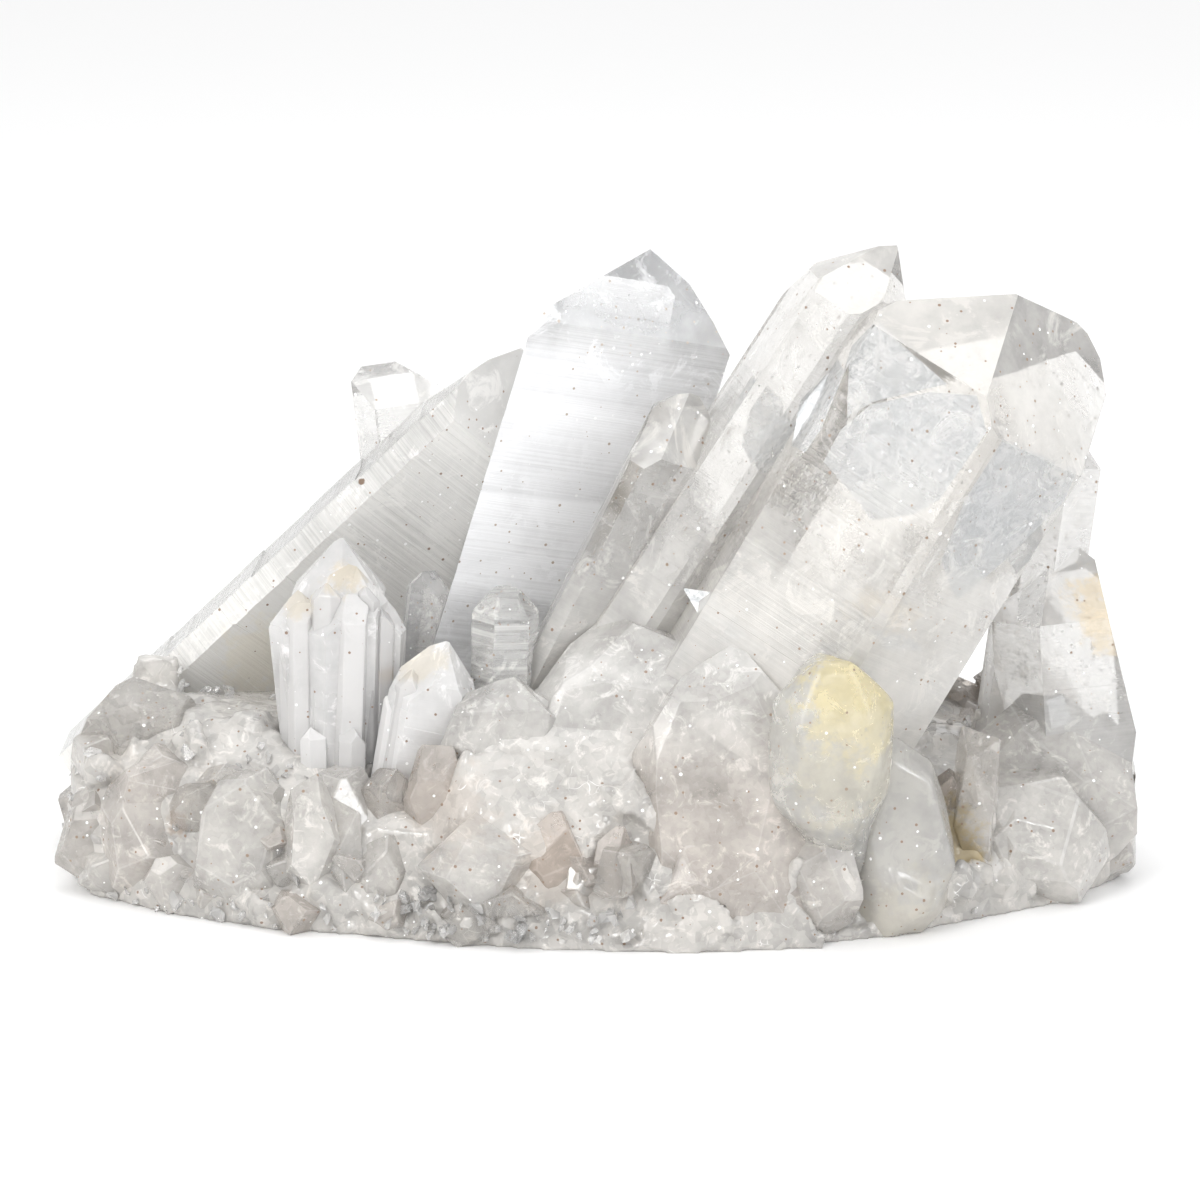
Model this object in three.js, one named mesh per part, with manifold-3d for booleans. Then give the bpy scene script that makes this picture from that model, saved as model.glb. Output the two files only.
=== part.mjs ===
// A quartz crystal cluster: clear pointed crystals of many sizes that lean apart from one milky base.
// Millimetres, +Z up, seen in the photograph from -Y. The origin is the middle of the flat underside.
import * as THREE from 'three';
import { ConvexGeometry } from 'three/addons/geometries/ConvexGeometry.js';
import { mergeVertices } from 'three/addons/utils/BufferGeometryUtils.js';
import Module from 'manifold-3d';

const wasm = await Module();
wasm.setup();

// Quartz: six sides in a ring, and a point of six faces that slope this far from the crystal's axis.
const SIDES = 6;
const POINT_FACE_TILT = 51.8;
const GAP = 0.3;
const SAME_CORNER = 1e-3;

// No crystal's root reaches lower than this. A slab of this size stands for all the space below a height.
const ROOT_HEIGHT = 2;
const SLAB_WIDTH = 300;
const SLAB_DEPTH = 40;

const radians = THREE.MathUtils.degToRad;
const vec = (point) => new THREE.Vector3(...point);

// Each crystal: root and tip are the ends of its axis. roll turns side 0 away from facing -Y, towards +X.
// sides are the distances of the six sides from the axis, in turn from side 0. drops are how far below the
// tip the six point faces cross the axis: a longer drop makes that face larger. Each cut is one more flat on
// the point: its turn from side 0, its slope from the axis and its drop. Each bevel is a narrow extra side
// between two others: its turn from side 0 and its distance.
const CRYSTALS = {
  left_long: {
    root: [-57.6, 22.8, 2.6], tip: [7.2, 19.2, 64.3], roll: 30,
    sides: [6, 11, 5, 6, 12.9, 16.2], drops: [16.6, 11, 11, 11, -20, 0.4],
    cuts: [[231, 80.7, -48.5], [228, 67.4, -7.7]],
  },
  back_left: {
    root: [-20.5, 28.3, 12], tip: [-25.8, 33.6, 59.4], roll: 22,
    sides: [5, 6.2, 5, 5, 5.1, 7], drops: [1.5, -2, 0, 0, -9, -9],
    cuts: [[250, 48.5, -2.4], [182, 3, 2.6], [76, 35, 2.7]],
  },
  centre_tall: {
    root: [-12.4, 12.6, 10], tip: [7.5, 4.4, 76.6], roll: 24,
    sides: [5, 11.5, 10, 9, 11.5, 18], drops: [3.5, -9, -2, -2, -9, -9],
    cuts: [[228, 49, -0.6], [94, 29, 1.5], [80, 43, -0.3], [77, 47.5, -1.7]],
  },
  centre_slim: {
    root: [-6, -3.2, 24], tip: [12.6, -4.2, 61.7], roll: 29,
    sides: [4, 4.5, 4, 4, 4.4, 6.6], drops: [4.5, 1, 0, 0, 0, 3],
  },
  right_tall: {
    root: [-6.6, -3, 14.7], tip: [34.7, -0.6, 79.6], roll: -17,
    sides: [7, 6, 5.1, 5, 6.2, 5.9], drops: [1.9, 0, 0, 1, 2.9, 2],
    cuts: [[278, 77, -15.7], [275, 48, 2.3], [103, 45.5, -0.7]], bevels: [[30, 7.1]],
  },
  right_big: {
    root: [20, -9.6, 18], tip: [54.4, -7.2, 76.8], roll: -24,
    sides: [12, 11.6, 13.5, 12, 15.4, 17], drops: [2, -9, -5.6, -3.5, 5.6, -6],
    cuts: [[60, 51, 6.3], [248, 8, 6], [122, 15, 4.3], [104, 80.6, -67]], bevels: [[30, 13.2]],
  },
  right_behind: {
    root: [50, 4, 10], tip: [56, 8.5, 55.5], roll: -21,
    sides: [4.8, 4.8, 4.8, 4.8, 4.8, 4.8], drops: [0, 0, 0, 0, 0, 0],
  },
  right_stub: {
    root: [58.4, 2.8, 3], tip: [55.4, 4.3, 42.3], roll: 11,
    sides: [7, 12, 9, 7, 8, 8], drops: [1.5, -2, 0, 0, 0, 0.5],
    cuts: [[87, 42, 0.8], [76, 80, -18.1], [71, 100, 70]],
  },
  yellow_front: {
    root: [26.9, -17.7, 8], tip: [26.9, -29, 36.6], roll: 0,
    sides: [6.3, 6.3, 6.3, 6.3, 6.3, 6.3], drops: [2, 0.5, 0.5, 2, 0.5, 0.5],
    cuts: [[0, 10, 3]],
  },
  fan_left: {
    root: [-33.7, -6, 8], tip: [-36.4, -6, 37.6], roll: 1,
    sides: [3, 3.4, 3, 3, 3.2, 3], drops: [1, 0, 0, 0, 1, 0.5],
  },
  fan_front: {
    root: [-31.1, -7, 7], tip: [-30.1, -7, 41.6], roll: 15,
    sides: [4.2, 4.6, 4.5, 4.5, 4.4, 4.8], drops: [1.5, 0, 0, 0, 0, 3],
  },
  fan_behind: {
    root: [-32.4, -1, 8], tip: [-31, -1, 42.6], roll: 29,
    sides: [5.2, 5.5, 5, 5.2, 5.5, 5.2], drops: [0.5, 0, 0, 0, 0, 1],
  },
  fan_right: {
    root: [-27.3, -6, 7], tip: [-25.8, -6, 38.6], roll: 19,
    sides: [2.6, 2.8, 2.8, 2.6, 2.8, 2.8], drops: [0, 3, 1, 0, 0, 1],
  },
  fan_low: {
    root: [-24.6, -11.9, 4], tip: [-18.3, -12.1, 33.4], roll: 7,
    sides: [3.8, 4.6, 4.2, 3.8, 4.4, 4.4], drops: [1, 0.5, 0, 0, 0, 2.5],
  },
  small_clear: {
    root: [-11.7, -8.3, 17], tip: [-11.1, -7.7, 39.4], roll: 12,
    sides: [3.4, 3.6, 3.4, 3.4, 3.6, 3.4], drops: [0, 0, 0, 0, 0, 0],
    cuts: [[0, 12, 2], [0, 30, 1.4]],
  },
  small_blade: {
    root: [-22.4, 1.5, 16], tip: [-19.7, 2.2, 39.8], roll: -12,
    sides: [1.8, 3.2, 2.8, 2.8, 2.4, 2.8], drops: [0, 3, 2, 0, 2, 0.5],
  },
  front_grey: {
    root: [34.5, -15.2, 2], tip: [36.2, -22.5, 18.8], roll: -1,
    sides: [5.2, 6.2, 5.5, 5.5, 5.5, 5.5], drops: [1, 2, 1, 0, 0, 1.5],
    cuts: [[60, 30, 1.5]],
  },
  back_mid: {
    root: [2, 20, 10], tip: [13, 29, 45], roll: 10,
    sides: [5.4, 6, 5.4, 5.6, 6, 5.4], drops: [0, 1, 0, 2, 0.5, 0],
  },
  back_right: {
    root: [30, 16, 8], tip: [43, 26, 38], roll: -15,
    sides: [6, 5.6, 6, 6.4, 5.6, 6], drops: [0, 0.5, 2, 1, 0, 0],
  },
  back_low: {
    root: [-40, 19, 6], tip: [-45, 29, 25], roll: 5,
    sides: [4, 4.4, 4, 4.2, 4, 4.4], drops: [0, 0, 1, 1.5, 0, 0],
  },
};

// The flat half-spaces whose shared inside is one crystal.
function crystalPlanes(crystal, grow = 0) {
  const root = vec(crystal.root);
  const tip = vec(crystal.tip);
  const axis = tip.clone().sub(root).normalize();
  const front = new THREE.Vector3(0, -1, 0).projectOnPlane(axis).normalize();
  const right = axis.clone().cross(front);
  const outward = (turn, tilt) => {
    const angle = radians(crystal.roll + turn);
    const side = front.clone().multiplyScalar(Math.cos(angle)).addScaledVector(right, Math.sin(angle));
    return side.multiplyScalar(Math.sin(radians(tilt))).addScaledVector(axis, Math.cos(radians(tilt)));
  };
  const planes = [{ normal: axis.clone().negate(), point: root }];
  const addPointFace = (turn, tilt, drop) => {
    planes.push({ normal: outward(turn, tilt), point: tip.clone().addScaledVector(axis, -drop) });
  };
  for (let i = 0; i < SIDES; i++) {
    const turn = (i * 360) / SIDES;
    const side = outward(turn, 90);
    planes.push({ normal: side, point: root.clone().addScaledVector(side, crystal.sides[i]) });
    addPointFace(turn, POINT_FACE_TILT, crystal.drops[i]);
  }
  for (const cut of crystal.cuts ?? []) addPointFace(...cut);
  for (const [turn, distance] of crystal.bevels ?? []) {
    const side = outward(turn, 90);
    planes.push({ normal: side, point: root.clone().addScaledVector(side, distance) });
  }
  return planes.map(({ normal, point }) => ({ normal, reach: normal.dot(point) + grow }));
}

// The corners where three of the planes meet inside all the others.
function cornersOf(planes) {
  const corners = [];
  for (let i = 0; i < planes.length; i++) {
    for (let j = i + 1; j < planes.length; j++) {
      for (let k = j + 1; k < planes.length; k++) {
        const [a, b, c] = [planes[i], planes[j], planes[k]];
        const bc = b.normal.clone().cross(c.normal);
        const spread = a.normal.dot(bc);
        if (Math.abs(spread) < 1e-6) continue;
        const corner = bc.multiplyScalar(a.reach)
          .addScaledVector(c.normal.clone().cross(a.normal), b.reach)
          .addScaledVector(a.normal.clone().cross(b.normal), c.reach)
          .divideScalar(spread);
        const inside = planes.every((p) => p.normal.dot(corner) <= p.reach + SAME_CORNER);
        const known = corners.some((other) => other.distanceTo(corner) < SAME_CORNER);
        if (inside && !known) corners.push(corner);
      }
    }
  }
  return corners;
}

function solidOf(geometry) {
  const bare = geometry.clone();
  bare.deleteAttribute('normal');
  bare.deleteAttribute('uv');
  const merged = mergeVertices(bare, 1e-4);
  return new wasm.Manifold(new wasm.Mesh({
    numProp: 3,
    vertProperties: merged.attributes.position.array,
    triVerts: new Uint32Array(merged.index.array),
  }));
}

function geometryOf(solid) {
  const { vertProperties, triVerts } = solid.getMesh();
  const geometry = new THREE.BufferGeometry();
  geometry.setAttribute('position', new THREE.BufferAttribute(vertProperties, 3));
  geometry.setIndex(new THREE.BufferAttribute(triVerts, 1));
  return geometry;
}

function crystalSolid(name, grow) {
  const corners = cornersOf(crystalPlanes(CRYSTALS[name], grow));
  return solidOf(new ConvexGeometry(corners));
}

const joined = (solids) => solids.reduce((whole, solid) => whole.add(solid));
const grownTogether = (names, grow) => joined(names.map((name) => crystalSolid(name, grow)));

// All the space under a height, wider than the cluster.
function slabBelow(height) {
  const slab = new THREE.BoxGeometry(SLAB_WIDTH, SLAB_WIDTH, SLAB_DEPTH);
  slab.translate(0, 0, height - SLAB_DEPTH / 2);
  return solidOf(slab);
}

const hullOf = (points) => solidOf(new ConvexGeometry(points.map(vec)));

// Same numbers on every run.
function numbersFrom(seed) {
  let state = seed;
  return (low, high) => {
    state = (state * 1664525 + 1013904223) % 4294967296;
    return low + ((high - low) * state) / 4294967296;
  };
}

// The milky mass under the crystals: three broken blocks and the ridge that rises in front of the middle.
const BASE_BLOCKS = [
  [
    [-64.5, 0, 0], [-61, -9, 0], [-50, -17, 0], [-38, -22.5, 0], [-20, -26.5, 0], [-18, 33, 0],
    [-45, 29.5, 0], [-60, 23, 0], [-65, 12, 0], [-64.8, -1, 14], [-61, -8, 9], [-48, -15, 13],
    [-36, -19, 13], [-20, -23, 12], [-18, 24, 17], [-44, 26, 13], [-61, 21, 10], [-65, 12, 11],
    [-56, 3, 22], [-44, -6, 20.5], [-30, -2, 20],
  ],
  [
    [-24, -26, 0], [-8, -30, 0], [10, -31.5, 0], [26, -29.5, 0], [32, 29, 0], [8, 33.5, 0], [-24, 34, 0],
    [-22, -22, 9], [-8, -27.5, 9], [10, -29.5, 9], [26, -27, 9], [-20, -12, 19], [-6, -18, 20], [16, -18, 20],
    [29, -12, 16], [26, 22, 18], [2, 26, 20], [-22, 31, 14],
  ],
  [
    [22, -29, 0], [33, -25.5, 0], [44, -18.5, 0], [55, -12, 0], [63, -2, 0], [64.5, 8, 0], [57, 19, 0],
    [28, 30, 0], [24, -22, 11], [44, -15, 7], [57, -8, 10], [65, 0, 13], [65, 9, 13], [54, 18, 16],
    [28, 22, 18], [30, -8, 17], [46, -4, 14],
  ],
  [
    [-3.6, -9, 28], [-15.8, -15, 22.5], [-19.7, -19, 16], [-22, -22, 10], [-0.2, -12, 29],
    [3.7, -20, 22], [-2.9, -26.5, 13.6], [-8.4, -28, 10.5], [-16, -25.5, 14.5], [-15.8, -20, 21.2],
    [18, -13, 28], [16, -22, 17], [20, -27, 9], [-14, 6, 20], [18, 6, 24],
  ],
];

// Chips and small crystals of the broken surface. Each row runs from its first point to its second, with
// chips of the given size.
const CHIP_ROWS = [
  { from: [-62, -2, 3], to: [-40, -20, 3], count: 9, size: [2.2, 3.6] },
  { from: [-40, -20, 3], to: [-20, -26, 3], count: 9, size: [2, 3.8] },
  { from: [-20, -27, 2.5], to: [12, -30, 2.5], count: 12, size: [1.8, 3] },
  { from: [12, -30, 3], to: [44, -19, 3], count: 9, size: [2.4, 4] },
  { from: [44, -19, 4], to: [61, -2, 4], count: 7, size: [2.4, 4] },
  { from: [-58, -8, 10], to: [-24, -20, 10], count: 9, size: [2.6, 4.2] },
  { from: [-62, 2, 12], to: [-46, -9, 20], count: 6, size: [2.4, 4] },
  { from: [-46, -4, 20], to: [-26, -10, 16], count: 6, size: [2, 3.4] },
  { from: [0, -24, 15], to: [24, -23, 13], count: 8, size: [2.4, 4] },
  { from: [-4, -28, 7], to: [30, -27, 7], count: 9, size: [2.2, 3.6] },
  { from: [-63, 19, 7], to: [-30, 32, 7], count: 9, size: [3.4, 5.4] },
  { from: [-30, 32, 7], to: [18, 31, 7], count: 11, size: [3.4, 5.4] },
  { from: [20, 29, 7], to: [61, 13, 7], count: 9, size: [3.4, 5] },
  { from: [-47, 26, 12], to: [-31, 28, 13], count: 6, size: [2.6, 4.2] },
  { from: [-20, 28, 16], to: [8, 27, 19], count: 7, size: [3, 4.6] },
  { from: [8, 26, 18], to: [54, 18, 16], count: 9, size: [3, 4.6] },
  { from: [-6, 14, 21], to: [21, 10, 20], count: 8, size: [2.6, 4.2] },
  { from: [34, -2, 16], to: [52, 4, 15], count: 5, size: [2.6, 4.2] },
];

// Larger chips that stand out by themselves.
const CHIPS = [
  { at: [-13.9, -25.5, 7.6], size: [4.8, 4, 5] },
  { at: [-33, -20.5, 10.5], size: [3.2, 3.2, 5.4] },
  { at: [-27.5, -22.5, 7], size: [2.2, 3, 5.6] },
  { at: [-47, -13.5, 12], size: [2.6, 2.8, 3.4] },
  { at: [-59.4, -5, 14.5], size: [3.2, 3, 3.6] },
  { at: [11, -28.5, 4.2], size: [7.5, 3.4, 4.4] },
  { at: [27.4, -26.6, 5.6], size: [3.1, 2.8, 5.6] },
  { at: [44, -14, 9], size: [3.4, 3.4, 6.5] },
  { at: [60.5, 4, 9], size: [4, 5, 8] },
  { at: [-54, 7, 22.5], size: [4, 4.5, 4] },
];

const CHIP_POINTS = 13;

// One broken chip: the hull of scattered points on a squashed ball.
function chipSolid(center, size, number) {
  const points = [];
  for (let i = 0; i < CHIP_POINTS; i++) {
    const direction = new THREE.Vector3(number(-1, 1), number(-1, 1), number(-1, 1));
    if (direction.lengthSq() < 0.05) direction.set(0, 0, 1);
    direction.normalize().multiply(vec(size)).add(vec(center));
    points.push([direction.x, direction.y, direction.z]);
  }
  return hullOf(points);
}

function rowOfChips(row, number) {
  const solids = [];
  for (let i = 0; i < row.count; i++) {
    const place = vec(row.from).lerp(vec(row.to), (i + number(0.2, 0.8)) / row.count);
    const size = number(...row.size);
    const center = [place.x, place.y, place.z + number(-1.5, 1.5)];
    solids.push(chipSolid(center, [size, size * number(0.7, 1), size * number(0.8, 1.5)], number));
  }
  return solids;
}

function baseSolid() {
  const number = numbersFrom(11);
  const blocks = BASE_BLOCKS.map(hullOf);
  const chips = CHIPS.map(({ at, size }) => chipSolid(at, size, number));
  const rows = CHIP_ROWS.flatMap((row) => rowOfChips(row, number));
  return joined([...blocks, ...chips, ...rows]);
}

const CLEAR = { color: 0xdedbd6, roughness: 0.08, metalness: 0 };
const GREY = { color: 0xb9b4aa, roughness: 0.15, metalness: 0 };
const YELLOW = { color: 0xe6d8a2, roughness: 0.2, metalness: 0 };
const MILKY = { color: 0xcfc7bb, roughness: 0.45, metalness: 0 };

// Crystals that grew through one another are one solid. The others stand a hair apart.
const PIECES = {
  right_group: { crystals: ['centre_slim', 'right_tall', 'right_big'], finish: CLEAR },
  right_stub: { crystals: ['right_behind', 'right_stub'], finish: CLEAR },
  centre_tall: { crystals: ['centre_tall'], finish: CLEAR },
  left_long: { crystals: ['left_long'], finish: CLEAR },
  back_left: { crystals: ['back_left'], finish: CLEAR },
  yellow_front: { crystals: ['yellow_front'], finish: YELLOW },
  fan_group: { crystals: ['fan_left', 'fan_front', 'fan_behind', 'fan_right', 'fan_low'], finish: CLEAR },
  small_clear: { crystals: ['small_clear'], finish: CLEAR },
  small_blade: { crystals: ['small_blade'], finish: CLEAR },
  front_grey: { crystals: ['front_grey'], finish: GREY },
  back_mid: { crystals: ['back_mid'], finish: CLEAR },
  back_right: { crystals: ['back_right'], finish: CLEAR },
  back_low: { crystals: ['back_low'], finish: CLEAR },
};

const cluster = new THREE.Group();
function addNode(name, solid, finish) {
  const mesh = new THREE.Mesh(geometryOf(solid), new THREE.MeshStandardMaterial(finish));
  mesh.name = name;
  cluster.add(mesh);
}

// Every later piece is cut clear of the ground and the earlier ones, and the base last of all.
const rootSlab = slabBelow(ROOT_HEIGHT);
const socketSlab = slabBelow(ROOT_HEIGHT - GAP);
let taken = slabBelow(0);
for (const [name, { crystals, finish }] of Object.entries(PIECES)) {
  addNode(name, grownTogether(crystals).subtract(rootSlab).subtract(taken), finish);
  taken = taken.add(grownTogether(crystals, GAP).subtract(socketSlab));
}
addNode('druse_base', baseSolid().subtract(taken), MILKY);

// The origin is the middle of the underside of the whole cluster's box.
const middle = new THREE.Box3().setFromObject(cluster).getCenter(new THREE.Vector3());
cluster.position.set(-middle.x, -middle.y, 0);

export default cluster;
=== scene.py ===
import math
import random

import bmesh
import bpy
import numpy as np
from mathutils import Matrix, Vector, noise
from mathutils.bvhtree import BVHTree


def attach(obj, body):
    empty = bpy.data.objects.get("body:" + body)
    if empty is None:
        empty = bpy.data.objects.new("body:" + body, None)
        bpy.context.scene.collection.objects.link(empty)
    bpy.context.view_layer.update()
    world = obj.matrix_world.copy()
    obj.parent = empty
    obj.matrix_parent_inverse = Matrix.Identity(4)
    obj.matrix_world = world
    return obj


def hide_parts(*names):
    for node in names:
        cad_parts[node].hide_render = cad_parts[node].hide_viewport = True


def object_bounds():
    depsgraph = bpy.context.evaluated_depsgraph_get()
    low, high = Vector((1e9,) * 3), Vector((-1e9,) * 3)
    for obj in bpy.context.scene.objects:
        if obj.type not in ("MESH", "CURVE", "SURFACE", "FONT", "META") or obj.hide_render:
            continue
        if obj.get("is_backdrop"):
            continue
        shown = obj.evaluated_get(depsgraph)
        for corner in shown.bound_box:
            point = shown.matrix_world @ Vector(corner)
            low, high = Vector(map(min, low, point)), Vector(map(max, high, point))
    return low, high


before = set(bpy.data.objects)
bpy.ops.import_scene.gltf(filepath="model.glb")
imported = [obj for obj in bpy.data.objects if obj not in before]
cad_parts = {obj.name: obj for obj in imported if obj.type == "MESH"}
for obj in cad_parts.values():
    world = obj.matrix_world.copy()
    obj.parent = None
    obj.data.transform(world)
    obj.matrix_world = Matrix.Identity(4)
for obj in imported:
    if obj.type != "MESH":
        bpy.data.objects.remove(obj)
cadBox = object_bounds()
mm = 0.001
print("frame loaded:", len(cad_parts), "solids")


# Camera, floor and light

photoView = {
    "target": (0.57, -3.49, 34.3),  # mm
    "elevation": 14.0,  # degrees above level
    "distance": 600.0,  # mm
    "frameWidth": 144.0,  # mm seen across the picture at the target
    "sensor": 36.0,
}

studio = {
    "floorSize": 6.0,  # m
    "floorColour": (0.92, 0.92, 0.92),
    "worldLow": (0.82, 0.82, 0.82),
    "worldHigh": (1.0, 1.0, 1.0),
    "worldStrength": 0.98,
    # name: (place mm, aimed at mm, width mm, height mm, watts, colour)
    "lamps": {
        "topBox": ((-60, 60, 620), (0, 0, 30), 620, 460, 1.1, (1.0, 1.0, 1.0)),
        "keyBox": ((-420, -520, 380), (0, 0, 40), 320, 320, 1.35, (1.0, 0.985, 0.96)),
        "sideBox": ((560, -220, 300), (0, 0, 40), 260, 360, 0.5, (0.93, 0.96, 1.0)),
        "leftSpark": ((-260, -420, 420), (0, 0, 25), 90, 90, 0.3, (1.0, 1.0, 1.0)),
        "frontSpark": ((60, -520, 300), (0, 0, 25), 80, 80, 0.22, (1.0, 1.0, 1.0)),
        "rightSpark": ((340, -300, 360), (0, 0, 25), 90, 90, 0.25, (0.97, 0.98, 1.0)),
        "backBox": ((200, 2600, 900), (0, 0, 40), 1800, 900, 1.5, (0.97, 0.98, 1.0)),
    },
}


def makeCamera(look):
    lift = math.radians(look["elevation"])
    target = Vector(look["target"]) * mm
    away = Vector((0, -math.cos(lift), math.sin(lift))) * look["distance"] * mm
    data = bpy.data.cameras.new("camera")
    data.sensor_width = look["sensor"]
    data.lens = look["sensor"] * look["distance"] / look["frameWidth"]
    data.clip_start = 0.01
    camera = bpy.data.objects.new("camera", data)
    camera.location = target + away
    camera.rotation_euler = (-away).to_track_quat("-Z", "Y").to_euler()
    bpy.context.scene.collection.objects.link(camera)
    bpy.context.scene.camera = camera


def makeLamp(name, place, aim, width, height, power, colour):
    data = bpy.data.lights.new(name, "AREA")
    data.shape = "RECTANGLE"
    data.size = width * mm
    data.size_y = height * mm
    data.energy = power
    data.color = colour
    lamp = bpy.data.objects.new(name, data)
    lamp.location = Vector(place) * mm
    lamp.rotation_euler = (Vector(aim) - Vector(place)).to_track_quat("-Z", "Y").to_euler()
    bpy.context.scene.collection.objects.link(lamp)


def makeFloor(look):
    half = look["floorSize"] / 2
    corners = [(-half, -half, 0), (half, -half, 0), (half, half, 0), (-half, half, 0)]
    mesh = bpy.data.meshes.new("floor")
    mesh.from_pydata(corners, [], [(0, 1, 2, 3)])
    floor = bpy.data.objects.new("floor", mesh)
    floor.location.z = -0.02 * mm
    bpy.context.scene.collection.objects.link(floor)
    surface = bpy.data.materials.new("paleFloor")
    surface.use_nodes = True
    shader = surface.node_tree.nodes["Principled BSDF"]
    shader.inputs["Base Color"].default_value = (*look["floorColour"], 1)
    shader.inputs["Roughness"].default_value = 0.6
    mesh.materials.append(surface)
    floor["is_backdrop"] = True


def makeWorld(look):
    world = bpy.data.worlds.new("studio")
    world.use_nodes = True
    tree = world.node_tree
    tree.nodes.clear()
    coords = tree.nodes.new("ShaderNodeTexCoord")
    split = tree.nodes.new("ShaderNodeSeparateXYZ")
    ramp = tree.nodes.new("ShaderNodeValToRGB")
    back = tree.nodes.new("ShaderNodeBackground")
    out = tree.nodes.new("ShaderNodeOutputWorld")
    ramp.color_ramp.elements[0].color = (*look["worldLow"], 1)
    ramp.color_ramp.elements[0].position = 0.0
    ramp.color_ramp.elements[1].color = (*look["worldHigh"], 1)
    ramp.color_ramp.elements[1].position = 0.8
    back.inputs["Strength"].default_value = look["worldStrength"]
    tree.links.new(coords.outputs["Generated"], split.inputs[0])
    tree.links.new(split.outputs["Z"], ramp.inputs[0])
    tree.links.new(ramp.outputs[0], back.inputs[0])
    tree.links.new(back.outputs[0], out.inputs[0])
    bpy.context.scene.world = world


makeCamera(photoView)
makeFloor(studio)
makeWorld(studio)
for lampName, lampValues in studio["lamps"].items():
    makeLamp(lampName, *lampValues)
bpy.context.scene.view_settings.view_transform = "Standard"
print("camera, floor and lamps made")


# Finishes

def node(tree, kind, settings=None, inputs=None):
    made = tree.nodes.new(kind)
    for key, value in (settings or {}).items():
        setattr(made, key, value)
    for key, value in (inputs or {}).items():
        if isinstance(value, bpy.types.NodeSocket):
            tree.links.new(value, made.inputs[key])
        else:
            made.inputs[key].default_value = value
    return made


def maths(tree, operation, *values, clamp=False):
    settings = {"operation": operation, "use_clamp": clamp}
    return node(tree, "ShaderNodeMath", settings, dict(enumerate(values))).outputs[0]


def blendColour(tree, share, first, second):
    made = node(tree, "ShaderNodeMix", {"data_type": "RGBA"})
    for key, value in ((0, share), (6, first), (7, second)):
        if isinstance(value, bpy.types.NodeSocket):
            tree.links.new(value, made.inputs[key])
        else:
            made.inputs[key].default_value = value if key == 0 else (*value, 1)
    return made.outputs[2]


def smoothStep(tree, value, low, high):
    inputs = {"Value": value, "From Min": low, "From Max": high}
    return node(tree, "ShaderNodeMapRange", {"interpolation_type": "SMOOTHSTEP"}, inputs).outputs[0]


def cloudNoise(tree, place, size, detail=5.0, rough=0.6, twist=0.0):
    inputs = {"Vector": place, "Scale": 1 / (size * mm), "Detail": detail, "Roughness": rough, "Distortion": twist}
    return node(tree, "ShaderNodeTexNoise", {}, inputs).outputs[0]


def dotMask(tree, place, spacing, size, share):
    # Round dots of different sizes: one in some of the cells.
    cells = node(tree, "ShaderNodeTexVoronoi", {}, {"Vector": place, "Scale": 1 / (spacing * mm)})
    chance = node(tree, "ShaderNodeSeparateColor", {}, {"Color": cells.outputs["Color"]}).outputs[0]
    radius = maths(tree, "MULTIPLY", maths(tree, "SUBTRACT", chance, 1 - share), size / spacing / share)
    return maths(tree, "LESS_THAN", cells.outputs["Distance"], radius)


def seamMask(tree, place, size, width, amount):
    # Thin broken lines along the borders of grains.
    wander = node(tree, "ShaderNodeTexNoise", {}, {"Vector": place, "Scale": 0.6 / (size * mm), "Detail": 2.0})
    shifted = node(tree, "ShaderNodeVectorMath", {"operation": "MULTIPLY_ADD"})
    tree.links.new(wander.outputs["Color"], shifted.inputs[0])
    shifted.inputs[1].default_value = (1.2 * size * mm,) * 3
    tree.links.new(place, shifted.inputs[2])
    inputs = {"Vector": shifted.outputs[0], "Scale": 1 / (size * mm)}
    edges = node(tree, "ShaderNodeTexVoronoi", {"feature": "DISTANCE_TO_EDGE"}, inputs).outputs[0]
    line = maths(tree, "SUBTRACT", 1.0, smoothStep(tree, edges, 0.0, width / size))
    broken = smoothStep(tree, cloudNoise(tree, place, 1.7 * size, 2.0), 0.62 - 0.3 * amount, 0.72 - 0.3 * amount)
    return maths(tree, "MULTIPLY", line, broken)


def stainMask(tree, place, wander, centre, radius):
    away = node(tree, "ShaderNodeVectorMath", {"operation": "DISTANCE"})
    tree.links.new(place, away.inputs[0])
    away.inputs[1].default_value = tuple(Vector(centre) * mm)
    ragged = maths(tree, "MULTIPLY_ADD", wander, 3.2 * radius * mm, away.outputs["Value"])
    return maths(tree, "SUBTRACT", 1.0, smoothStep(tree, ragged, 0.85 * radius * mm, 1.55 * radius * mm))


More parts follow.
